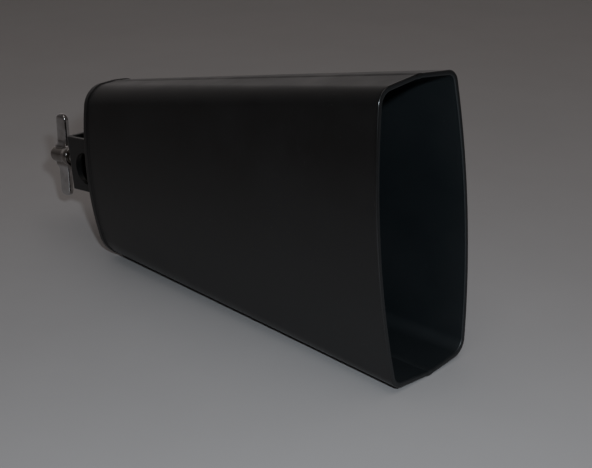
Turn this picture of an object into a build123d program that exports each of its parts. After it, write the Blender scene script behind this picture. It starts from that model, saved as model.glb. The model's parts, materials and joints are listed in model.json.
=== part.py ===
"""An eight-inch steel cowbell with a rod bracket and a wing screw, lying on one narrow side.

Row frame, millimetres: +X runs towards the mouth, -Y is the front broad face, +Z is up, and the
floor is z = 0. The bell tapers, so its axis rises towards the mouth by half of the taper angle.
Points on the bell are given along that axis (x, from the closed end's outer face), across it
(y) and up it (z).
"""
from build123d import *
import os
from math import atan, cos, radians, sin

# The bell's body: one value at the closed end and one at the mouth
LENGTH = 203.0
WIDTH = (92.5, 128.0)
THICKNESS = (45.0, 58.0)
BULGE = (6.0, 5.3)
RIDGE = (0.9, 2.3)
WIDE_CORNER = (12.0, 8.0)
TIGHT_CORNER = (16.0, 6.0)
WALL = 2.0
RIM_ROUNDING = 0.6
LONGEST_RIM_END = 3.0
TOUCH = 0.01

# The closed end's plate and its weld
PLATE_THICKNESS = 3.0
PLATE_STEP = 0.5
PLATE_ROUNDING = 0.9
WELD_ENDS = (3.0, 4.6)
WELD_FACE = (0.4, 0.05)
WELD_ROOT = (-1.0, -0.4)

# The welds along the middle of the narrow sides
SEAM_CROWN = 0.25
SEAM_HALF_WIDTH = 2.4
SEAM_ROOT_HALF_WIDTH = 0.8
SEAM_ROOT = 0.3

# The rod bracket: a steel strap bent to a U, its open side on the end plate
BRACKET_REACH = 30.0
BRACKET_WIDTH = 26.8
BRACKET_HEIGHT = 29.0
BRACKET_RISE = 1.6
BRACKET_GAUGE = 2.8
SLOT_WIDTH = BRACKET_WIDTH - 2 * BRACKET_GAUGE
BEND_RADIUS = 2.8
INNER_BEND_RADIUS = 1.0
BRACKET_EDGE = 0.4
ROD_HOLE_RADIUS = 8.5
ROD_HOLE_REACH = 14.6
BEAD_LEG = 2.0
BEAD_HALF_LENGTH = 11.0

# The M8 clamp screw and its nut
THREAD_RADIUS = 3.9
RUNNING_GAP = 0.05
NUT_ACROSS_FLATS = 13.0
NUT_HEIGHT = 5.5
TACK_LEG = 1.8
TACK_HALF_LENGTH = 3.5
TIP_REACH = 23.5
TIP_CHAMFER = 0.8
HUB_INNER_END = 44.5
HUB_OUTER_END = 63.75
HUB_BASE_RADIUS = 6.0
HUB_NECK_RADIUS = 5.2
HUB_END_RADIUS = 4.7
HUB_DOME = 3.4
HUB_BASE_LENGTH = 2.5
HUB_FLARE_LENGTH = 7.0
STUD_SOCKET = 9.0
SOCKET_END_GAP = 0.5

# The wings of the clamp screw
WING_REACH = 23.4
WING_MIDDLE = 54.1
WING_TIP_HALF_WIDTH = 4.2
WING_ROOT_HALF_WIDTH = 4.5
WING_TIP_ROUNDING = 3.4
WING_THICKNESS = 3.4
WING_ROUNDING = 1.2
WING_LEAN = radians(4.1)

# The bell's axis in the row frame, with the floor touching the plate's edge and the mouth's ridge
TILT = atan((WIDTH[1] / 2 - WIDTH[0] / 2 - PLATE_STEP) / LENGTH)
AXIS = Vector(cos(TILT), 0, sin(TILT))
UP = Vector(-sin(TILT), 0, cos(TILT))
BACK = -HUB_OUTER_END * cos(TILT) - (HUB_END_RADIUS - HUB_DOME) * sin(TILT)
FRONT = LENGTH * cos(TILT) + WIDTH[1] / 2 * sin(TILT)
ORIGIN = Vector(-(BACK + FRONT) / 2, 0, (WIDTH[0] / 2 + PLATE_STEP) * cos(TILT))


def across(x):
    """The plane square to the bell's axis at x: sketches on it are in (y, z)."""
    return Plane(origin=ORIGIN + AXIS * x, x_dir=(0, 1, 0), z_dir=AXIS)


def beside(y):
    """The plane along the axis at y, facing the front: sketches on it are in (x, z)."""
    return Plane(origin=ORIGIN + Vector(0, y, 0), x_dir=AXIS, z_dir=(0, -1, 0))


def above(z):
    """The plane along the axis at z, facing up: sketches on it are in (x, y)."""
    return Plane(origin=ORIGIN + UP * z, x_dir=AXIS, z_dir=UP)


def between(ends, x):
    """A dimension that changes evenly along the axis, at x."""
    return ends[0] + (ends[1] - ends[0]) * x / LENGTH


def outline(x, grow=0.0):
    """The body's outline at x: two bowed broad sides and two narrow sides, each a low roof.

    Both halves are one pressing, the second turned half way round the axis, so the upper front
    and the lower rear corners are wide, and the other two are tight."""
    top = between(WIDTH, x) / 2 - SEAM_CROWN + grow
    side = between(THICKNESS, x) / 2 + grow
    corner_y = side - between(BULGE, x)
    corner_z = top - between(RIDGE, x)
    with BuildSketch(across(x)) as section:
        with BuildLine():
            Polyline((-corner_y, corner_z), (0, top), (corner_y, corner_z))
            ThreePointArc((corner_y, corner_z), (side, 0), (corner_y, -corner_z))
            Polyline((corner_y, -corner_z), (0, -top), (-corner_y, -corner_z))
            ThreePointArc((-corner_y, -corner_z), (-side, 0), (-corner_y, corner_z))
        make_face()
        for diagonal, radius in ((-1, WIDE_CORNER), (1, TIGHT_CORNER)):
            corners = [v for v in section.vertices() if v.X * v.Y * diagonal > TOUCH]
            fillet(corners, between(radius, x) + grow)
    return section.sketch.face()


def seam_profile(x, side):
    """The seam weld's outline at x, on the upper (side = 1) or lower (side = -1) narrow side."""
    top = between(WIDTH, x) / 2 - SEAM_CROWN
    slope = between(RIDGE, x) / (between(THICKNESS, x) / 2 - between(BULGE, x))
    edge = top - slope * SEAM_HALF_WIDTH
    root = top - WALL - SEAM_ROOT
    with BuildSketch(across(x)) as section:
        with BuildLine():
            ThreePointArc(
                (-SEAM_HALF_WIDTH, side * edge),
                (0, side * (top + SEAM_CROWN)),
                (SEAM_HALF_WIDTH, side * edge),
            )
            Polyline(
                (SEAM_HALF_WIDTH, side * edge),
                (SEAM_ROOT_HALF_WIDTH, side * root),
                (-SEAM_ROOT_HALF_WIDTH, side * root),
                (-SEAM_HALF_WIDTH, side * edge),
            )
        make_face()
    return section.sketch.face()


# End plate: a flat steel plate that closes the narrow end and stands a little proud of the shells
with BuildPart() as end_plate:
    extrude(outline(0, PLATE_STEP), amount=PLATE_THICKNESS)
    fillet(end_plate.faces().sort_by(Axis(ORIGIN, AXIS))[0].edges(), PLATE_ROUNDING)
end_plate.part.label = "end_plate"

# End plate weld: the ground fillet that runs all the way round, between the plate and the shells
with BuildPart() as end_plate_weld:
    loft([outline(x, grow) for x, grow in zip(WELD_ENDS, WELD_FACE)], ruled=True)
    loft([outline(x, grow) for x, grow in zip(WELD_ENDS, WELD_ROOT)], ruled=True, mode=Mode.SUBTRACT)
end_plate_weld.part.label = "end_plate_weld"


def seam_weld(side):
    """The weld bead that joins the two shells along one narrow side."""
    with BuildPart() as weld:
        loft([seam_profile(PLATE_THICKNESS, side), seam_profile(LENGTH, side)], ruled=True)
        add(end_plate_weld.part, mode=Mode.SUBTRACT)
    return weld


upper_seam_weld = seam_weld(1)
upper_seam_weld.part.label = "upper_seam_weld"
lower_seam_weld = seam_weld(-1)
lower_seam_weld.part.label = "lower_seam_weld"


def half_shell(keep):
    """One pressed half of the bell: a broad side and half of each narrow side, with a rounded rim."""
    with BuildPart() as shell:
        loft([outline(PLATE_THICKNESS), outline(LENGTH)], ruled=True)
        loft([outline(PLATE_THICKNESS, -WALL), outline(LENGTH, -WALL)], ruled=True, mode=Mode.SUBTRACT)
        split(bisect_by=Plane.XZ, keep=keep)
        rim = shell.faces().sort_by(Axis(ORIGIN, AXIS))[-1]
        fillet([e for e in rim.edges() if e.length > LONGEST_RIM_END], RIM_ROUNDING)
        add(end_plate_weld.part, mode=Mode.SUBTRACT)
        add(upper_seam_weld.part, mode=Mode.SUBTRACT)
        add(lower_seam_weld.part, mode=Mode.SUBTRACT)
    return shell


front_shell = half_shell(Keep.TOP)
front_shell.part.label = "front_shell"
rear_shell = half_shell(Keep.BOTTOM)
rear_shell.part.label = "rear_shell"

# Mount bracket: the U strap, with a rod hole through both legs and a screw hole in its web
with BuildPart() as mount_bracket:
    with BuildSketch(above(BRACKET_RISE - BRACKET_HEIGHT / 2)) as strap:
        with Locations((-BRACKET_REACH / 2, 0)):
            Rectangle(BRACKET_REACH, BRACKET_WIDTH)
        fillet(strap.vertices().group_by(Axis.X)[0], BEND_RADIUS)
        with Locations(((BRACKET_GAUGE - BRACKET_REACH) / 2, 0)):
            Rectangle(BRACKET_REACH - BRACKET_GAUGE, SLOT_WIDTH, mode=Mode.SUBTRACT)
        slot_side = [v for v in strap.vertices() if abs(abs(v.Y) - SLOT_WIDTH / 2) < TOUCH]
        fillet([v for v in slot_side if v.X < -TOUCH], INNER_BEND_RADIUS)
    extrude(amount=BRACKET_HEIGHT)
    layers = mount_bracket.edges().group_by(Axis(ORIGIN, UP))
    chamfer(layers[0] + layers[-1], BRACKET_EDGE)
    with BuildSketch(beside(BRACKET_WIDTH)):
        with Locations((-ROD_HOLE_REACH, 0)):
            Circle(ROD_HOLE_RADIUS)
    extrude(amount=2 * BRACKET_WIDTH, mode=Mode.SUBTRACT)
    with BuildSketch(across(-BRACKET_REACH)):
        Circle(THREAD_RADIUS + RUNNING_GAP)
    extrude(amount=BRACKET_GAUGE, mode=Mode.SUBTRACT)
mount_bracket.part.label = "mount_bracket"

# Bracket welds: a fillet bead down the outside of each leg, on the end plate
with BuildPart() as bracket_welds:
    for side in (-1, 1):
        leg = side * BRACKET_WIDTH / 2
        with BuildSketch(above(BRACKET_RISE - BEAD_HALF_LENGTH)):
            with BuildLine():
                Polyline((0, leg), (-BEAD_LEG, leg), (0, leg + side * BEAD_LEG), close=True)
            make_face()
        extrude(amount=2 * BEAD_HALF_LENGTH)
bracket_welds.part.label = "bracket_welds"

# Weld nut: an M8 hexagon on the outside of the web, so that the rod's way stays clear
with BuildPart() as weld_nut:
    with BuildSketch(across(-BRACKET_REACH - NUT_HEIGHT)):
        RegularPolygon(NUT_ACROSS_FLATS / 2, 6, major_radius=False)
        Circle(THREAD_RADIUS + RUNNING_GAP, mode=Mode.SUBTRACT)
    extrude(amount=NUT_HEIGHT)
weld_nut.part.label = "weld_nut"

# Nut welds: a short tack above and below the nut
with BuildPart() as nut_welds:
    for side in (-1, 1):
        flat = side * NUT_ACROSS_FLATS / 2
        with BuildSketch(beside(TACK_HALF_LENGTH)):
            with BuildLine():
                Polyline(
                    (-BRACKET_REACH, flat),
                    (-BRACKET_REACH - TACK_LEG, flat),
                    (-BRACKET_REACH, flat + side * TACK_LEG),
                    close=True,
                )
            make_face()
        extrude(amount=2 * TACK_HALF_LENGTH)
nut_welds.part.label = "nut_welds"

# Screw stud: the threaded shank, a plain round with chamfered ends
with BuildPart() as screw_stud:
    with BuildSketch(across(-HUB_INNER_END - STUD_SOCKET + SOCKET_END_GAP)):
        Circle(THREAD_RADIUS)
    extrude(amount=HUB_INNER_END + STUD_SOCKET - SOCKET_END_GAP - TIP_REACH)
    chamfer(screw_stud.faces().sort_by(Axis(ORIGIN, AXIS))[-1].edges(), TIP_CHAMFER)
screw_stud.part.label = "screw_stud"

# Wing head: a cast hub on the stud's end, with a rounded paddle above and below it
SCREW_LINE = Axis(ORIGIN, AXIS)
wing_facing = Vector(0, -cos(WING_LEAN), 0) + UP * sin(WING_LEAN)
wing_plane = Plane(origin=ORIGIN - AXIS * WING_MIDDLE, x_dir=AXIS, z_dir=wing_facing)
with BuildPart() as wing_head:
    with BuildSketch(wing_plane) as wings:
        with BuildLine():
            Polyline(
                (-WING_ROOT_HALF_WIDTH, 0),
                (-WING_TIP_HALF_WIDTH, WING_REACH),
                (WING_TIP_HALF_WIDTH, WING_REACH),
                (WING_ROOT_HALF_WIDTH, 0),
                (WING_TIP_HALF_WIDTH, -WING_REACH),
                (-WING_TIP_HALF_WIDTH, -WING_REACH),
                close=True,
            )
        make_face()
        fillet([v for v in wings.vertices() if abs(v.Y) > TOUCH], WING_TIP_ROUNDING)
    extrude(amount=WING_THICKNESS / 2, both=True)
    broad_sides = wing_head.faces().group_by(Axis(ORIGIN, wing_facing))
    fillet(broad_sides[0].edges() + broad_sides[-1].edges(), WING_ROUNDING)
    with BuildSketch(beside(0)):
        with BuildLine():
            Polyline(
                (-HUB_OUTER_END, HUB_END_RADIUS - HUB_DOME),
                (-HUB_OUTER_END, 0),
                (-HUB_INNER_END, 0),
                (-HUB_INNER_END, HUB_BASE_RADIUS),
                (-HUB_INNER_END - HUB_BASE_LENGTH, HUB_BASE_RADIUS),
                (-HUB_INNER_END - HUB_FLARE_LENGTH, HUB_NECK_RADIUS),
                (-HUB_OUTER_END + HUB_DOME, HUB_END_RADIUS),
            )
            RadiusArc(
                (-HUB_OUTER_END + HUB_DOME, HUB_END_RADIUS),
                (-HUB_OUTER_END, HUB_END_RADIUS - HUB_DOME),
                -HUB_DOME,
            )
        make_face()
    revolve(axis=SCREW_LINE)
    with BuildSketch(across(-HUB_INNER_END)):
        Circle(THREAD_RADIUS + RUNNING_GAP)
    extrude(amount=-STUD_SOCKET, mode=Mode.SUBTRACT)
wing_head.part.label = "wing_head"

os.makedirs("parts", exist_ok=True)
for piece in (
    front_shell,
    rear_shell,
    upper_seam_weld,
    lower_seam_weld,
    end_plate,
    end_plate_weld,
    mount_bracket,
    bracket_welds,
    weld_nut,
    nut_welds,
    screw_stud,
    wing_head,
):
    export_step(piece.part, f"parts/{piece.part.label}.step")
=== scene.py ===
"""An eight-inch steel cowbell with a rod bracket and a wing screw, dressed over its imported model.

Metres, in the model's own frame: +X runs towards the mouth, -Y is the front broad side, +Z is up
and the floor is z = 0. Places on the bell are given along its axis (x, from the closed end's outer
face), across it (y) and up it (z). The axis rises towards the mouth by half of the bell's taper.
"""
import json

import bmesh
import bpy
import numpy as np
from mathutils import Matrix


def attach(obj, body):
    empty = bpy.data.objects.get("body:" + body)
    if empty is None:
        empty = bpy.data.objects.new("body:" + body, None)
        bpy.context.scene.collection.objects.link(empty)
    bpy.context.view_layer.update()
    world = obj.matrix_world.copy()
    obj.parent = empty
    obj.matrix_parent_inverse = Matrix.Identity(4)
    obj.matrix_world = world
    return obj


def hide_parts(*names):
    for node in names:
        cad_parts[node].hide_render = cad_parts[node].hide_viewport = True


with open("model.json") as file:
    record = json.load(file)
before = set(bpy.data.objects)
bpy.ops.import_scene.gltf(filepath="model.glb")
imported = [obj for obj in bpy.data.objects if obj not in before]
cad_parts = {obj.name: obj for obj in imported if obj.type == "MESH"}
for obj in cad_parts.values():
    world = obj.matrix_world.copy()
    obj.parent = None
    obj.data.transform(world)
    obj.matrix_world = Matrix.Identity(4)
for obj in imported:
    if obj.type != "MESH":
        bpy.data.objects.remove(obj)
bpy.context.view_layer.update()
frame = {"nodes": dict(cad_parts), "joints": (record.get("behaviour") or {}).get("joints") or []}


# ---- Front and rear shells ------------------------------------------------------------------
# Each half of the bell is pressed from 2 mm mild steel sheet: a bowed broad side with half of
# both narrow sides, bent round at the corners. The halves are welded together, the mouth's rim
# is broken round with a file, and the whole bell is powder-coated satin black.
MM = 0.001
LENGTH = 203 * MM
WIDTH = (92.5 * MM, 128 * MM)
THICKNESS = (45 * MM, 58 * MM)
BULGE = (6 * MM, 5.3 * MM)
RIDGE = (0.9 * MM, 2.3 * MM)
WIDE_CORNER = (12 * MM, 8 * MM)
TIGHT_CORNER = (16 * MM, 6 * MM)
WALL = 2 * MM
RIM_ROUNDING = 0.6 * MM
PLATE_THICKNESS = 3 * MM
WELD_END = 4.6 * MM
WELD_BEVEL = (1 * MM, 0.4 * MM)
SEAM_CROWN = 0.25 * MM
SEAM_HALF_WIDTH = 2.4 * MM
SEAM_ROOT_HALF_WIDTH = 0.8 * MM
SEAM_ROOT_DEPTH = 2.3 * MM
PRESSING_RIPPLE = 0.03 * MM
RIPPLE_LENGTHS = (23 * MM, 17 * MM, 31 * MM, 41 * MM)
FLAT_LIP = 8 * MM
MERGE_DISTANCE = 0.001 * MM

WING_MIDDLE = -54.1 * MM
wing_turn = next(joint for joint in frame["joints"] if joint["name"] == "wing_turn")
AXIS = np.array(wing_turn["axis"]) / np.linalg.norm(wing_turn["axis"])
ACROSS = np.array((0.0, 1.0, 0.0))
UP = np.cross(AXIS, ACROSS)
ORIGIN = np.array(wing_turn["pos_m"]) - AXIS * WING_MIDDLE


def placed(x, y, z):
    """Row-frame points: the bell's origin, plus its axis times x, across times y and up times z."""
    x, y, z = (value[..., None] for value in np.broadcast_arrays(x, y, z))
    return ORIGIN + AXIS * x + ACROSS * y + UP * z


def skin(name, points, loops=(False, False), ladder=False, attributes=None):
    """An object through a grid of points (rows, columns): quads join each point to its neighbours.

    loops closes the rows, the columns or both on themselves. A ladder closes the two end rows: each
    of its rungs joins a point of the row's loop to the point across the loop from it. Points that
    fall together, as at a pole, are merged, and the faces are turned outwards."""
    rows, columns = points.shape[:2]
    index = np.arange(rows * columns).reshape(rows, columns)
    grid = np.vstack([index, index[:1]]) if loops[0] else index
    grid = np.hstack([grid, grid[:, :1]]) if loops[1] else grid
    quads = [np.stack([grid[:-1, :-1], grid[:-1, 1:], grid[1:, 1:], grid[1:, :-1]], -1).reshape(-1, 4)]
    if ladder:
        near = index[[0, -1], : columns // 2]
        far = index[[0, -1], : columns // 2 - 1 : -1]
        rungs = np.stack([near[:, :-1], near[:, 1:], far[:, 1:], far[:, :-1]], -1)
        quads.append(rungs.reshape(-1, 4))
    mesh = bpy.data.meshes.new(name)
    mesh.from_pydata(points.reshape(-1, 3).tolist(), [], np.vstack(quads).tolist())
    for label, values in (attributes or {}).items():
        layer = mesh.attributes.new(label, "FLOAT", "POINT")
        layer.data.foreach_set("value", np.ascontiguousarray(values, np.float32).ravel())
    close_up(mesh)
    made = bpy.data.objects.new(name, mesh)
    bpy.context.scene.collection.objects.link(made)
    return made


def close_up(mesh, crease=40):
    """Merges points that fall together, turns the faces outwards, and keeps the edges that turn by
    more than crease degrees sharp."""
    work = bmesh.new()
    work.from_mesh(mesh)
    bmesh.ops.remove_doubles(work, verts=work.verts, dist=MERGE_DISTANCE)
    bmesh.ops.recalc_face_normals(work, faces=work.faces)
    work.to_mesh(mesh)
    work.free()
    mesh.shade_smooth()
    mesh.set_sharp_from_angle(angle=np.radians(crease))


def half_outline(x, grow, seam, roof_steps=12, corner_steps=18, side_steps=80):
    """The rear side of the bell's outline at each x, grown outwards by grow, as lines (y, z) from
    the upper seam's edge round the broad side to the lower seam's edge.

    A straight roof line falls from the ridge, a round corner turns down and a big arc makes the
    broad side. The corner touches both: its centre lies one corner radius under the roof line, and
    the big radius less the corner radius from the big arc's centre."""
    part = x / LENGTH
    width, thickness, bulge, ridge, tight, wide = (
        ends[0] + (ends[1] - ends[0]) * part
        for ends in (WIDTH, THICKNESS, BULGE, RIDGE, TIGHT_CORNER, WIDE_CORNER)
    )
    top = width / 2 - SEAM_CROWN + grow
    side = thickness / 2 + grow
    corner_y = side - bulge
    corner_z = top - ridge
    big = (corner_z**2 + bulge**2) / (2 * bulge)
    middle = side - big
    roof = np.hypot(corner_y, ridge)
    run_y, run_z = corner_y / roof, -ridge / roof
    out_y, out_z = -run_z, run_y
    first = np.arctan2(out_z, out_y)
    ends = []
    for corner in (tight + grow, wide + grow):
        from_y, from_z = -out_y * corner - middle, top - out_z * corner
        ahead = from_y * run_y + from_z * run_z
        reach = np.sqrt(ahead**2 - from_y**2 - from_z**2 + (big - corner) ** 2) - ahead
        centre_y = run_y * reach - out_y * corner
        centre_z = top + run_z * reach - out_z * corner
        last = np.arctan2(centre_z, centre_y - middle)
        along = np.linspace(0, 1, roof_steps, endpoint=False)[:, None]
        along = seam / run_y + (reach - seam / run_y) * along
        turn = first + (last - first) * np.linspace(0, 1, corner_steps, endpoint=False)[:, None]
        end_y = np.vstack([run_y * along, centre_y + corner * np.cos(turn)])
        end_z = np.vstack([top + run_z * along, centre_z + corner * np.sin(turn)])
        ends.append((end_y, end_z, last))
    (upper_y, upper_z, upper_turn), (lower_y, lower_z, lower_turn) = ends
    sweep = upper_turn - (upper_turn + lower_turn) * np.linspace(0, 1, side_steps)[:, None]
    y = np.vstack([upper_y, middle + big * np.cos(sweep), lower_y[::-1]])
    z = np.vstack([upper_z, big * np.sin(sweep), -lower_z[::-1]])
    return y, z


def shell_profile(steps=90, rim_steps=8):
    """The wall cut lengthwise, as a loop (x, grow): out along the outside, round the rim, back along
    the inside, and down the bevel that the end plate's weld fills."""
    along = np.linspace(WELD_END, LENGTH - RIM_ROUNDING, steps)
    angle = np.linspace(0, np.pi / 2, rim_steps)[1:]
    rim = LENGTH - RIM_ROUNDING + RIM_ROUNDING * np.sin(angle)
    drop = RIM_ROUNDING - RIM_ROUNDING * np.cos(angle)
    bevel = np.array([PLATE_THICKNESS, WELD_END])
    outer_x = np.concatenate([bevel, along, rim])
    outer = -np.concatenate([WELD_BEVEL, np.zeros(steps), drop])
    inner_x = np.concatenate([[PLATE_THICKNESS, (PLATE_THICKNESS + WELD_END) / 2], along, rim])
    inner = -WALL + np.concatenate([[0, 0], np.zeros(steps), drop])
    return np.concatenate([outer_x, inner_x[::-1]]), np.concatenate([outer, inner[::-1]])


def half_shell(name, side):
    """One pressed half: the wall's profile carried round the rear side of the outline, with low
    ripples (sines of the place along the bell and round it) that only sink into the wall. The front
    half is the rear half turned half way round the bell's axis."""
    x, grow = shell_profile()
    seam = SEAM_HALF_WIDTH + grow * (SEAM_HALF_WIDTH - SEAM_ROOT_HALF_WIDTH) / SEAM_ROOT_DEPTH
    y, z = half_outline(x, grow, seam)
    first, second, third, fourth = RIPPLE_LENGTHS
    wave = np.sin(x / first + z / second) * np.cos(z / third - x / fourth + side)
    ripple = PRESSING_RIPPLE * (wave - 1) * np.clip((LENGTH - x) / FLAT_LIP, 0, 1)
    mouthward = np.broadcast_to(LENGTH - x, y.shape)
    inside = np.broadcast_to(np.clip(-grow / WALL, 0, 1), y.shape)
    from_rim = np.hypot(mouthward, 2 * np.minimum(np.abs(grow), np.abs(grow + WALL)))
    values = {"inside": inside, "from_rim": from_rim}
    points = placed(x, side * (y + ripple), side * z)
    return skin(name, points, loops=(False, True), ladder=True, attributes=values)


def add(tree, kind, inputs=(), **settings):
    """A shader node with its settings made, and its inputs joined to other nodes or set to values."""
    made = tree.nodes.new("ShaderNode" + kind)
    for key, value in settings.items():
        setattr(made, key, value)
    for key, value in dict(inputs).items():
        if isinstance(value, bpy.types.NodeSocket):
            tree.links.new(value, made.inputs[key])
        else:
            made.inputs[key].default_value = value
    return made


def noise(tree, place, scale, detail=2.0, roughness=0.5):
    """Soft noise over a place, its scale in features per metre."""
    inputs = {"Vector": place, "Scale": scale, "Detail": detail, "Roughness": roughness}
    return add(tree, "TexNoise", inputs).outputs["Fac"]


def spread(tree, value, low, high, to_low=0.0, to_high=1.0):
    """Maps a value from (low, high) onto (to_low, to_high), held at the ends."""
    limits = {"Value": value, "From Min": low, "From Max": high, "To Min": to_low, "To Max": to_high}
    return add(tree, "MapRange", limits).outputs["Result"]


def mixed(tree, factor, first, second):
    """A colour between two, by factor."""
    made = add(tree, "Mix", {0: factor, 6: first, 7: second}, data_type="RGBA")
    return made.outputs[2]


def math_of(tree, operation, first, second=0.0):
    """The sum, product or other operation of two values."""
    return add(tree, "Math", {0: first, 1: second}, operation=operation).outputs[0]


def new_material(name, **constants):
    """A material with its Principled shader, whose constant inputs are set here on the shader itself."""
    material = bpy.data.materials.new(name)
    material.use_nodes = True
    tree = material.node_tree
    shader = tree.nodes["Principled BSDF"]
    for key, value in constants.items():
        shader.inputs[key.replace("_", " ")].default_value = value
    return material, tree, shader


def join(tree, shader, **sockets):
    """Joins worked-out values to the shader's inputs."""
    for key, socket in sockets.items():
        tree.links.new(socket, shader.inputs[key.replace("_", " ")])


COAT_IOR = 1.62
COAT_DARK = (0.0052, 0.0051, 0.0050, 1)
COAT_LIGHT = (0.0088, 0.0088, 0.0090, 1)
COAT_INSIDE = (0.0082, 0.0115, 0.0135, 1)
COAT_DUST = (0.09, 0.09, 0.088, 1)
BARE_STEEL = (0.34, 0.33, 0.32, 1)
DUST_COVER = 0.5
DUST_RANGE = (0.735, 0.80)
CHIP_RANGE = (0.66, 0.84)
CHIP_REACH = 1.1 * MM
HANDLED_REACH = 1.5 * MM
HANDLED_GLOSS = 0.16
INSIDE_DULLNESS = 0.18
PEEL_DEPTH = 0.02 * MM
GRAIN_DEPTH = 0.006 * MM


def black_coat(name, gloss=(0.30, 0.42), peel=0.16):
    """Satin black powder coat: a dark colour that drifts a little, an orange-peel skin with fine
    grain, thin dust specks, a glossier handled rim with small chips to bare steel, and a duller,
    bluer inside. Noise scales are in features per metre."""
    material, tree, shader = new_material(name, IOR=COAT_IOR)
    place = add(tree, "TexCoord").outputs["Object"]
    inside = add(tree, "Attribute", attribute_name="inside").outputs["Fac"]
    from_rim = add(tree, "Attribute", attribute_name="from_rim").outputs["Fac"]
    grain = noise(tree, place, 2600, 2, 0.6)
    skin_noise = noise(tree, place, 900, 2, 0.5)
    drift = noise(tree, place, 24, 3, 0.6)
    dust = spread(tree, noise(tree, place, 1500, 1, 0.5), *DUST_RANGE, 0.0, DUST_COVER)
    colour = mixed(tree, spread(tree, drift, 0.35, 0.7), COAT_DARK, COAT_LIGHT)
    colour = mixed(tree, inside, colour, COAT_INSIDE)
    colour = mixed(tree, dust, colour, COAT_DUST)
    chip_reach = spread(tree, noise(tree, place, 320, 3, 0.6), *CHIP_RANGE, 0.0, CHIP_REACH)
    has_rim = math_of(tree, "GREATER_THAN", from_rim, 0.0)
    chipped = math_of(tree, "LESS_THAN", from_rim, chip_reach)
    chipped = math_of(tree, "MULTIPLY", chipped, has_rim)
    colour = mixed(tree, chipped, colour, BARE_STEEL)
    rough = spread(tree, drift, 0.3, 0.7, *gloss)
    rough = math_of(tree, "ADD", rough, math_of(tree, "MULTIPLY", inside, INSIDE_DULLNESS))
    handled = spread(tree, from_rim, 0.0, HANDLED_REACH, HANDLED_GLOSS, 0.0)
    rough = math_of(tree, "SUBTRACT", rough, math_of(tree, "MULTIPLY", handled, has_rim))
    relief = add(tree, "Bump", {"Strength": peel, "Distance": PEEL_DEPTH, "Height": skin_noise})
    inputs = {"Strength": peel, "Distance": GRAIN_DEPTH, "Height": grain, "Normal": relief.outputs[0]}
    relief = add(tree, "Bump", inputs)
    join(tree, shader, Base_Color=colour, Roughness=rough, Metallic=chipped, Normal=relief.outputs[0])
    return material


shell_coat = black_coat("shell_black_coat")
front_shell = half_shell("front_shell_skin", -1)
rear_shell = half_shell("rear_shell_skin", 1)
for shell, node in ((front_shell, "front_shell"), (rear_shell, "rear_shell")):
    shell.data.materials.append(shell_coat)
    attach(shell, "bell")
    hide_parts(node)


# ---- Seam welds -----------------------------------------------------------------------------
# One weld bead runs along the middle of each narrow side and joins the two shells. It is ground
# down to a low crown before coating, and its root shows inside the bell as a small ripple.
SEAM_DIP = 0.6
ROOT_SWELL = 0.12 * MM
ROOT_PITCH = 3.2 * MM
ROOT_SPREAD = 1.6
WANDER_LENGTHS = (9 * MM, 3.7 * MM)
CHIP_GUARD = 0.02 * MM


def seam_weld(name, side, steps=220, points=15):
    """A bead's section carried along the seam. Outside it is a crown, one less the square of the
    place across it, whose height wanders along the bell, and inside it is a flatter root. Near the
    mouth both draw in by the rim's rounding: the radius less a quarter circle."""
    straight = np.linspace(WELD_END, LENGTH - RIM_ROUNDING, steps)
    rounding = RIM_ROUNDING * np.sin(np.linspace(0, np.pi / 2, 8)[1:])
    x = np.concatenate([straight, LENGTH - RIM_ROUNDING + rounding])[:, None]
    part = x / LENGTH
    top = (WIDTH[0] + (WIDTH[1] - WIDTH[0]) * part) / 2 - SEAM_CROWN
    half_thickness = (THICKNESS[0] + (THICKNESS[1] - THICKNESS[0]) * part) / 2
    slope = (RIDGE[0] + (RIDGE[1] - RIDGE[0]) * part) / (
        half_thickness - BULGE[0] - (BULGE[1] - BULGE[0]) * part
    )
    rim = np.clip(x - LENGTH + RIM_ROUNDING, 0, RIM_ROUNDING)
    draw = RIM_ROUNDING - np.sqrt(RIM_ROUNDING**2 - rim**2)
    share = np.linspace(-1, 1, points)
    wander = 0.5 + 0.5 * np.sin(x / WANDER_LENGTHS[0] + side) * np.sin(x / WANDER_LENGTHS[1])
    crown = SEAM_CROWN * (1 - SEAM_DIP * wander)
    edge = top - slope * SEAM_HALF_WIDTH
    outer = edge + (top + crown - edge) * (1 - share**2) - draw
    swell = ROOT_SWELL * np.abs(np.sin(np.pi * x / ROOT_PITCH))
    root = top - SEAM_ROOT_DEPTH - swell * (1 - share**2) + draw
    root_share = share[::-1] * ROOT_SPREAD
    y = np.hstack([share * SEAM_HALF_WIDTH + 0 * x, root_share * SEAM_ROOT_HALF_WIDTH + 0 * x])
    z = np.hstack([outer, root[:, ::-1]])
    inside = np.hstack([np.zeros_like(outer), np.ones_like(root)])
    from_rim = np.broadcast_to(LENGTH - x + CHIP_GUARD, y.shape)
    values = {"inside": inside, "from_rim": from_rim}
    return skin(name, placed(x, y, side * z), loops=(False, True), ladder=True, attributes=values)


weld_coat = black_coat("ground_weld_black_coat", gloss=(0.34, 0.5), peel=0.3)
for name, side in (("upper_seam_weld", 1), ("lower_seam_weld", -1)):
    bead = seam_weld(name + "_bead", side)
    bead.data.materials.append(weld_coat)
    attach(bead, "bell")
    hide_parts(name)


# ---- End plate ------------------------------------------------------------------------------
# A flat 3 mm steel plate closes the narrow end. It is cut a little larger than the shells, its
# outer edge is rounded over, and it takes the same black coat as they do.
PLATE_STEP = 0.5 * MM
PLATE_ROUNDING = 0.9 * MM


def full_outline(x, grow):
    """The whole outline at each x as one loop: the rear side, then itself turned half way round."""
    y, z = half_outline(x, grow, 0 * x, roof_steps=10, corner_steps=16, side_steps=56)
    return np.vstack([y, -y[1:-1]]), np.vstack([z, -z[1:-1]])


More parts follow.
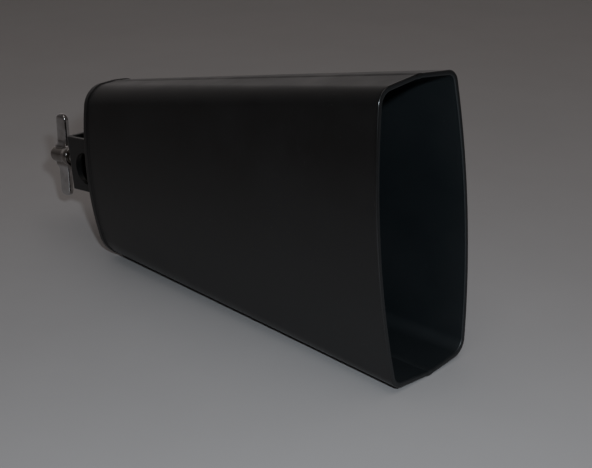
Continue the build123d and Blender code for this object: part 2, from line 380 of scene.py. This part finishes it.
def plate_skin(name, rings=14):
    """The plate as rings: outer face from its centre to the rounding, a quarter circle, the edge and
    the inner face back to its centre. A ring inside the edge is the edge's outline made smaller."""
    angle = np.linspace(0, np.pi / 2, 8)
    flat = np.linspace(0, 1, rings, endpoint=False)
    edge_x = PLATE_ROUNDING * (1 - np.cos(angle))
    edge_grow = PLATE_ROUNDING * (np.sin(angle) - 1)
    x = np.concatenate([0 * flat, edge_x, [PLATE_THICKNESS], PLATE_THICKNESS + 0 * flat])
    grow = np.concatenate([0 * flat - PLATE_ROUNDING, edge_grow, [0], 0 * flat])
    scale = np.concatenate([flat, np.ones(len(angle) + 1), flat[::-1]])
    y, z = full_outline(x, grow + PLATE_STEP)
    return skin(name, placed(x, y * scale, z * scale), loops=(True, False))


end_plate = plate_skin("end_plate_skin")
end_plate.data.materials.append(black_coat("end_plate_black_coat", gloss=(0.32, 0.46), peel=0.22))
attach(end_plate, "bell")
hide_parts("end_plate")


# ---- End plate weld -------------------------------------------------------------------------
# A small fillet weld runs all the way round between the plate and the shells. It is dressed with
# a flap disc, so only a soft wave is left of its ripples under the coat.
WELD_FACE = (0.4 * MM, 0.05 * MM)
FILLET_HOLLOW = 2.6
DRESSED_RIPPLE = 0.09 * MM
RIPPLE_PITCH = 2.6 * MM


def around(y, z):
    """The distance round a loop of points, from its first one."""
    step = np.hypot(np.diff(y, axis=0, append=y[:1]), np.diff(z, axis=0, append=z[:1]))
    return np.cumsum(step, axis=0) - step[:1]


def plate_weld(name, points=9):
    """The weld's section carried round the outline: a hollow face (a power of the place across it)
    that sinks by a small sine of the distance round the bell, and a straight root under it."""
    share = np.linspace(0, 1, points)
    x = PLATE_THICKNESS + (WELD_END - PLATE_THICKNESS) * np.concatenate([share, share[::-1]])
    face = WELD_FACE[1] + (WELD_FACE[0] - WELD_FACE[1]) * (1 - share) ** FILLET_HOLLOW
    root = -WELD_BEVEL[0] - (WELD_BEVEL[1] - WELD_BEVEL[0]) * share
    y, z = full_outline(x, np.concatenate([face, root[::-1]]))
    phase = around(y, z) / RIPPLE_PITCH * 2 * np.pi
    middle = np.sin(np.pi * np.concatenate([share, 0 * share]))
    keep = 1 - DRESSED_RIPPLE * (0.5 + 0.5 * np.sin(phase)) * middle / np.hypot(y, z)
    return skin(name, placed(x, y * keep, z * keep), loops=(True, True))


plate_bead = plate_weld("end_plate_weld_bead")
plate_bead.data.materials.append(black_coat("plate_weld_black_coat", gloss=(0.20, 0.34), peel=0.6))
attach(plate_bead, "bell")
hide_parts("end_plate_weld")


# ---- Mount bracket --------------------------------------------------------------------------
# A strap of 2.8 mm steel bent to a U, with a hole through both legs for the holder rod and one
# in its web for the clamp screw. It is welded to the end plate and coated with the bell.
bracket_coat = black_coat("bracket_black_coat", gloss=(0.30, 0.44), peel=0.2)
bracket = frame["nodes"]["mount_bracket"]
bracket.data.materials.clear()
bracket.data.materials.append(bracket_coat)


# ---- Bracket welds and nut tacks ------------------------------------------------------------
# Fillet beads: one down the outside of each leg of the bracket, on the end plate, and a short
# tack above and below the nut. They are left as welded, with the ripples showing in the coat.
BRACKET_WIDTH = 26.8 * MM
BRACKET_REACH = 30 * MM
BRACKET_RISE = 1.6 * MM
BEAD_LEG = 1.9 * MM
BEAD_HALF_LENGTH = 11 * MM
TACK_LEG = 1.8 * MM
TACK_HALF_LENGTH = 3.5 * MM
NUT_ACROSS_FLATS = 13 * MM
BEAD_RIPPLE = 0.12
BEAD_PITCH = 1.5 * MM
BEAD_FULLNESS = 1.35


def fillet_bead(half_length, leg, points=12, steps=150):
    """A weld bead in its own corner, as (first leg, second leg, along) values: a section with two
    straight legs and a slightly full face, which swells in steps along the bead (the part of each
    pitch already laid, squared) and closes at both ends as a quarter circle does."""
    along = half_length * np.sin(np.linspace(-np.pi / 2, np.pi / 2, steps))[:, None]
    end = np.clip((np.abs(along) - half_length + leg) / leg, 0, 1)
    laid = (along / BEAD_PITCH) % 1
    size = leg * np.sqrt(1 - end**2) * (1 - BEAD_RIPPLE * laid**2)
    angle = np.linspace(0, np.pi / 2, points)
    powers = np.cos(angle) ** BEAD_FULLNESS + np.sin(angle) ** BEAD_FULLNESS
    fullness = 1 / powers ** (1 / BEAD_FULLNESS)
    first = np.concatenate([fullness * np.cos(angle), [0, 0]])
    second = np.concatenate([fullness * np.sin(angle), [0, 0]])
    second[-2] = 0.5
    return size * first, size * second, along + 0 * first


bead_coat = black_coat("bead_black_coat", gloss=(0.30, 0.42), peel=0.2)
first, second, along = fillet_bead(BEAD_HALF_LENGTH, BEAD_LEG)
tack_first, tack_second, tack_along = fillet_bead(TACK_HALF_LENGTH, TACK_LEG, steps=60)
tack_foot = NUT_ACROSS_FLATS / 2
beads = {
    "bracket_weld_front": placed(-first, -BRACKET_WIDTH / 2 - second, BRACKET_RISE + along),
    "bracket_weld_rear": placed(-first, BRACKET_WIDTH / 2 + second, BRACKET_RISE + along),
    "nut_tack_upper": placed(-BRACKET_REACH - tack_first, tack_along, tack_foot + tack_second),
    "nut_tack_lower": placed(-BRACKET_REACH - tack_first, tack_along, -tack_foot - tack_second),
}
for name, points in beads.items():
    bead = skin(name, points, loops=(False, True))
    bead.data.materials.append(bead_coat)
    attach(bead, "bell")
    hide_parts("bracket_welds" if name.startswith("bracket") else "nut_welds")


# ---- Weld nut -------------------------------------------------------------------------------
# A hexagon nut tacked to the outside of the web, with its corners chamfered on the outer face.
# It is coated with the bracket, so only its threads are bare.
NUT_HEIGHT = 5.5 * MM
NUT_BORE = 3.95 * MM
NUT_FACE_RADIUS = 6.3 * MM
NUT_CHAMFER = np.tan(np.radians(30))
NUT_COUNTERSINK = 0.5 * MM


def hex_nut(name, steps=144):
    """Rings about the screw's line. A flat's distance is its half width over the cosine of the angle
    from the flat's middle, and the corners fall back from the face's circle at 30 degrees."""
    angle = np.linspace(0, 2 * np.pi, steps, endpoint=False)[:, None]
    flat = NUT_ACROSS_FLATS / 2 / np.cos(angle % (np.pi / 3) - np.pi / 6)
    face = -BRACKET_REACH - NUT_HEIGHT
    fall = face + np.maximum(flat - NUT_FACE_RADIUS, 0) * NUT_CHAMFER
    whole = np.ones_like(flat)
    radius = np.hstack([
        whole * NUT_BORE,
        whole * NUT_BORE,
        whole * (NUT_BORE + NUT_COUNTERSINK),
        np.minimum(whole * NUT_FACE_RADIUS, flat),
        flat,
        flat,
    ])
    x = np.hstack([
        -BRACKET_REACH * whole,
        (face + NUT_COUNTERSINK) * whole,
        face * whole,
        face * whole,
        fall,
        -BRACKET_REACH * whole,
    ])
    points = placed(x, radius * np.cos(angle), radius * np.sin(angle))
    nut = skin(name, points, loops=(True, True))
    close_up(nut.data, crease=20)
    return nut


nut = hex_nut("weld_nut_body")
nut.data.materials.append(bracket_coat)
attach(nut, "bell")
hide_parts("weld_nut")


# ---- Screw stud -----------------------------------------------------------------------------
# The clamp screw's shank: an M8 thread of 1.25 mm pitch, rolled on a steel rod, zinc plated and
# cast into the wing head. It turns with the head.
THREAD_RADIUS = 3.9 * MM
THREAD_DEPTH = 0.68 * MM
THREAD_PITCH = 1.25 * MM
THREAD_FLANK = 0.8
STUD_TIP = -23.5 * MM
STUD_INNER_END = -53 * MM
TIP_CHAMFER = 0.8 * MM


def thread_skin(name, per_pitch=14, steps=56):
    """A round whose radius dips once in each pitch: the dip follows the place along the screw less
    the angle round it, so that it winds as a right-hand thread, and the tip closes as a cone."""
    stations = int((STUD_TIP - STUD_INNER_END) / THREAD_PITCH * per_pitch)
    x = np.linspace(STUD_INNER_END, STUD_TIP, stations)
    x = np.concatenate([x[:1], x, x[-1:]])
    angle = np.linspace(0, 2 * np.pi, steps, endpoint=False)[:, None]
    wind = np.abs((x / THREAD_PITCH - angle / (2 * np.pi)) % 1 * 2 - 1)
    dip = THREAD_DEPTH * np.clip((wind - 0.5) / THREAD_FLANK + 0.5, 0, 1)
    limit = THREAD_RADIUS - np.clip(x - STUD_TIP + TIP_CHAMFER, 0, TIP_CHAMFER)
    radius = np.minimum(THREAD_RADIUS - dip, limit)
    radius[:, [0, -1]] = 0
    points = placed(x, radius * np.cos(angle), radius * np.sin(angle))
    return skin(name, points, loops=(True, False))


ZINC_DULL = (0.46, 0.45, 0.42, 1)
ZINC_BRIGHT = (0.62, 0.61, 0.58, 1)
SCRATCH_DEPTH = 0.01 * MM


def zinc_plate(name):
    """Bright zinc plate: a pale metal, duller in soft patches, with fine drawn scratches."""
    material, tree, shader = new_material(name, Metallic=1.0)
    place = add(tree, "TexCoord").outputs["Object"]
    patches = noise(tree, place, 260, 3, 0.6)
    colour = mixed(tree, spread(tree, patches, 0.35, 0.7), ZINC_DULL, ZINC_BRIGHT)
    rough = spread(tree, patches, 0.3, 0.7, 0.22, 0.42)
    scratches = noise(tree, place, 3000)
    relief = add(tree, "Bump", {"Strength": 0.3, "Distance": SCRATCH_DEPTH, "Height": scratches})
    join(tree, shader, Base_Color=colour, Roughness=rough, Normal=relief.outputs[0])
    return material


stud = thread_skin("screw_stud_thread")
close_up(stud.data, crease=60)
stud.data.materials.append(zinc_plate("stud_zinc_plate"))
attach(stud, "wing_head")
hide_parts("screw_stud")


# ---- Wing head ------------------------------------------------------------------------------
# A cast hub with two paddles, cast in one piece on the stud's end, polished and chrome plated.
# The hub flares towards the nut and ends in a dome, and the paddles grow out of it in soft roots.
HUB_INNER_END = -44.5 * MM
HUB_OUTER_END = -63.7 * MM
HUB_BASE_RADIUS = 6 * MM
HUB_NECK_RADIUS = 5.2 * MM
HUB_END_RADIUS = 4.7 * MM
HUB_DOME = 3.4 * MM
HUB_BASE_ROUNDING = 0.8 * MM
HUB_BASE_LENGTH = 2.2 * MM
HUB_FLARE_LENGTH = 7 * MM
WING_REACH = 23.35 * MM
WING_TIP_HALF_WIDTH = 4.2 * MM
WING_ROOT_HALF_WIDTH = 4.5 * MM
WING_HALF_THICKNESS = 1.7 * MM
WING_LEAN = np.radians(4.1)
ROOT_SWELLING = 1.5 * MM
ROOT_REACH = 2.2 * MM
TIP_LENGTH = 3.8 * MM
TIP_ROUNDNESS = 2.4
TIP_FLATNESS = 2.75
SECTION_SQUARENESS = 5.5
CASTING_VOXEL = 0.2 * MM
CASTING_SMOOTHING = 5


def hub_points(steps=72):
    """The hub turned about the screw's line: a flat inner face, a rounded base, a flare that falls
    as a cosine to the neck, a slight taper and a round dome."""
    quarter = np.linspace(0, np.pi / 2, 9)
    flare = np.linspace(0, 1, 14)
    base_end = HUB_INNER_END - HUB_BASE_LENGTH
    neck = HUB_INNER_END - HUB_FLARE_LENGTH
    x = np.concatenate([
        [HUB_INNER_END],
        HUB_INNER_END - HUB_BASE_ROUNDING * (1 - np.cos(quarter)),
        base_end + (neck - base_end) * flare,
        HUB_OUTER_END + HUB_DOME - HUB_DOME * np.sin(quarter),
        [HUB_OUTER_END],
    ])
    radius = np.concatenate([
        [0],
        HUB_BASE_RADIUS - HUB_BASE_ROUNDING * (1 - np.sin(quarter)),
        HUB_NECK_RADIUS + (HUB_BASE_RADIUS - HUB_NECK_RADIUS) * (0.5 + 0.5 * np.cos(np.pi * flare)),
        HUB_END_RADIUS - HUB_DOME * (1 - np.cos(quarter)),
        [0],
    ])
    angle = np.linspace(0, 2 * np.pi, steps, endpoint=False)[:, None]
    return placed(x + 0 * angle, radius * np.cos(angle), radius * np.sin(angle))


def wing_points(steps=130, columns=96):
    """Both paddles as one long body through the hub. Each section is a superellipse, nearly a
    rectangle. Its width tapers outwards, both sizes close over the tip as superellipses of the
    distance into it, and both swell at the hub by a bell curve of the distance from it."""
    share = np.sin(np.linspace(-np.pi / 2, np.pi / 2, steps))[:, None]
    out = np.abs(share) * WING_REACH
    waist = WING_REACH - TIP_LENGTH
    taper = np.clip(out / waist, 0, 1)
    tip = np.clip((out - waist) / TIP_LENGTH, 0, 1)
    swelling = ROOT_SWELLING * np.exp(-((np.clip(out - HUB_END_RADIUS, 0, None) / ROOT_REACH) ** 2))
    width = WING_ROOT_HALF_WIDTH + (WING_TIP_HALF_WIDTH - WING_ROOT_HALF_WIDTH) * taper
    width = (width + swelling / 2) * (1 - tip**TIP_ROUNDNESS) ** (1 / TIP_ROUNDNESS)
    thickness = (WING_HALF_THICKNESS + swelling) * (1 - tip**TIP_FLATNESS) ** (1 / TIP_FLATNESS)
    angle = np.linspace(0, 2 * np.pi, columns, endpoint=False)
    power = 2 / SECTION_SQUARENESS
    axial = width * np.sign(np.cos(angle)) * np.abs(np.cos(angle)) ** power
    across = thickness * np.sign(np.sin(angle)) * np.abs(np.sin(angle)) ** power
    up = share * WING_REACH
    y = -across * np.cos(WING_LEAN) + up * np.sin(WING_LEAN)
    z = across * np.sin(WING_LEAN) + up * np.cos(WING_LEAN)
    return placed(WING_MIDDLE + axial, y, z)


CHROME_GREY = (0.50, 0.49, 0.485, 1)
CHROME_BRIGHT = (0.66, 0.655, 0.66, 1)
# Painted dark reflection on the hub: its brown colour, its reach from the screw's line and its cover.
HUB_PAINTED_REFLECTION = (0.20, 0.175, 0.155, 1)
PAINTED_REFLECTION_RANGE = (4.2 * MM, 6.5 * MM)
PAINTED_REFLECTION_COVER = 0.75
CASTING_WAVE = 0.03 * MM


def chrome(name):
    """Chrome plate on a polished casting: a bright metal with soft casting waves, fine wiping marks
    and greyer patches, and a painted brown dark reflection on the hub, within a few millimetres of its
    line."""
    material, tree, shader = new_material(name, Metallic=1.0)
    place = add(tree, "TexCoord").outputs["Object"]
    patches = noise(tree, place, 180, 4, 0.6)
    wiped = add(tree, "Mapping", {"Vector": place, "Scale": (1, 1, 7)}).outputs[0]
    marks = noise(tree, wiped, 600, 3, 0.6)
    colour = mixed(tree, spread(tree, patches, 0.35, 0.7), CHROME_GREY, CHROME_BRIGHT)
    ends = {0: place, 1: tuple(ORIGIN)}
    from_line = add(tree, "VectorMath", ends, operation="SUBTRACT").outputs["Vector"]
    sides = {0: from_line, 1: tuple(UP)}
    rise = add(tree, "VectorMath", sides, operation="DOT_PRODUCT").outputs["Value"]
    # Painted dark reflection: a brown darkening over the hub, within a few millimetres of the screw's
    # line.
    painted_reflection = spread(tree, math_of(tree, "ABSOLUTE", rise), *PAINTED_REFLECTION_RANGE, PAINTED_REFLECTION_COVER, 0.0)
    colour = mixed(tree, painted_reflection, colour, HUB_PAINTED_REFLECTION)
    rough = spread(tree, patches, 0.4, 0.75, 0.07, 0.19)
    rough = math_of(tree, "ADD", rough, math_of(tree, "MULTIPLY", marks, 0.06))
    waves = noise(tree, place, 350)
    relief = add(tree, "Bump", {"Strength": 0.25, "Distance": CASTING_WAVE, "Height": waves})
    join(tree, shader, Base_Color=colour, Roughness=rough, Normal=relief.outputs[0])
    return material


wing_head = skin("wing_head_casting", hub_points(), loops=(True, False))
paddles = skin("wing_paddles", wing_points(), loops=(False, True))
work = bmesh.new()
work.from_mesh(wing_head.data)
work.from_mesh(paddles.data)
work.to_mesh(wing_head.data)
work.free()
bpy.data.objects.remove(paddles)
union = wing_head.modifiers.new("one_casting", "REMESH")
union.mode = "VOXEL"
union.voxel_size = CASTING_VOXEL
union.use_smooth_shade = True
blend = wing_head.modifiers.new("soft_roots", "SMOOTH")
blend.factor = 0.5
blend.iterations = CASTING_SMOOTHING
wing_head.data.materials.append(chrome("wing_chrome"))
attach(wing_head, "wing_head")
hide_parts("wing_head")


# ---- Floor, lights and camera ---------------------------------------------------------------
# The bell lies on plain pale paper in a soft studio light: a broad softbox overhead, a small cool
# lamp beside the camera, and a dim, warm room with a brighter backdrop behind the bell.
FLOOR_HALF_SIZE = 6.0
FLOOR_TONES = ((0.50, 0.485, 0.48, 1), (0.56, 0.545, 0.54, 1))
PAPER_GRAIN_DEPTH = 0.05 * MM
floor_side = np.linspace(-FLOOR_HALF_SIZE, FLOOR_HALF_SIZE, 3)
floor_x, floor_y = np.meshgrid(floor_side, floor_side, indexing="ij")
floor = skin("floor", np.stack([floor_x, floor_y, 0 * floor_x], -1))
paper, paper_tree, paper_shader = new_material("floor_paper", Roughness=0.7)
paper_place = add(paper_tree, "TexCoord").outputs["Object"]
paper_tone = mixed(paper_tree, noise(paper_tree, paper_place, 9, 4, 0.6), *FLOOR_TONES)
paper_grain = noise(paper_tree, paper_place, 1300, 3, 0.6)
paper_inputs = {"Strength": 0.15, "Distance": PAPER_GRAIN_DEPTH, "Height": paper_grain}
paper_relief = add(paper_tree, "Bump", paper_inputs)
join(paper_tree, paper_shader, Base_Color=paper_tone, Normal=paper_relief.outputs[0])
floor.data.materials.append(paper)

AIM = ORIGIN + np.array((107.83, 21.4, -15.49)) * MM
CAMERA_AZIMUTH = np.radians(44.83)
CAMERA_ELEVATION = np.radians(21.33)
CAMERA_ROLL = np.radians(-0.6)
CAMERA_DISTANCE = 525.3 * MM
CAMERA_LENS = 66.19


def looking(azimuth, elevation, distance, target, roll=0.0):
    """The matrix of a camera or lamp that faces the target from that azimuth (0 looks along +Y),
    elevation and distance, turned about its own line of sight by roll."""
    level = np.array((np.cos(azimuth), np.sin(azimuth), 0))
    back = np.array((
        np.sin(azimuth) * np.cos(elevation),
        -np.cos(azimuth) * np.cos(elevation),
        np.sin(elevation),
    ))
    rise = np.cross(back, level)
    right = np.cos(roll) * level + np.sin(roll) * rise
    upward = np.cos(roll) * rise - np.sin(roll) * level
    place = np.array(target) + back * distance
    return Matrix(np.vstack([np.stack([right, upward, back, place], 1), (0, 0, 0, 1)]).tolist())


camera_data = bpy.data.cameras.new("camera")
camera_data.lens = CAMERA_LENS
camera_data.clip_start = 0.02
camera = bpy.data.objects.new("camera", camera_data)
camera.matrix_world = looking(CAMERA_AZIMUTH, CAMERA_ELEVATION, CAMERA_DISTANCE, AIM, CAMERA_ROLL)
bpy.context.scene.collection.objects.link(camera)
bpy.context.scene.camera = camera


def softbox(name, azimuth, elevation, distance, size, power, colour):
    """A square area lamp that faces the bell."""
    lamp_data = bpy.data.lights.new(name, "AREA")
    lamp_data.size = size
    lamp_data.energy = power
    lamp_data.color = colour
    lamp = bpy.data.objects.new(name, lamp_data)
    lamp.matrix_world = looking(np.radians(azimuth), np.radians(elevation), distance, AIM)
    bpy.context.scene.collection.objects.link(lamp)


softbox("overhead", 60, 80, 1.5, 1.4, 3.0, (1.0, 0.96, 0.95))
softbox("camera_lamp", 48.3, 26.5, 0.53, 0.02, 1.08, (0.84, 0.92, 1.0))

ROOM_DARK = (0.055, 0.051, 0.051, 1)
ROOM_BACKDROP = (0.29, 0.272, 0.268, 1)
ROOM_CEILING = (0.06, 0.052, 0.048, 1)
world = bpy.data.worlds.new("dim_room")
world.use_nodes = True
bpy.context.scene.world = world
sky = world.node_tree
direction = add(sky, "TexCoord").outputs["Generated"]
part_of = add(sky, "SeparateXYZ", {"Vector": direction}).outputs
behind = math_of(sky, "SUBTRACT", part_of["Y"], part_of["X"])
tone = mixed(sky, spread(sky, behind, 0.35, 1.15), ROOM_DARK, ROOM_BACKDROP)
tone = mixed(sky, spread(sky, part_of["Z"], 0.30, 0.8), tone, ROOM_CEILING)
sky.links.new(tone, sky.nodes["Background"].inputs["Color"])
sky.nodes["Background"].inputs["Strength"].default_value = 1.0
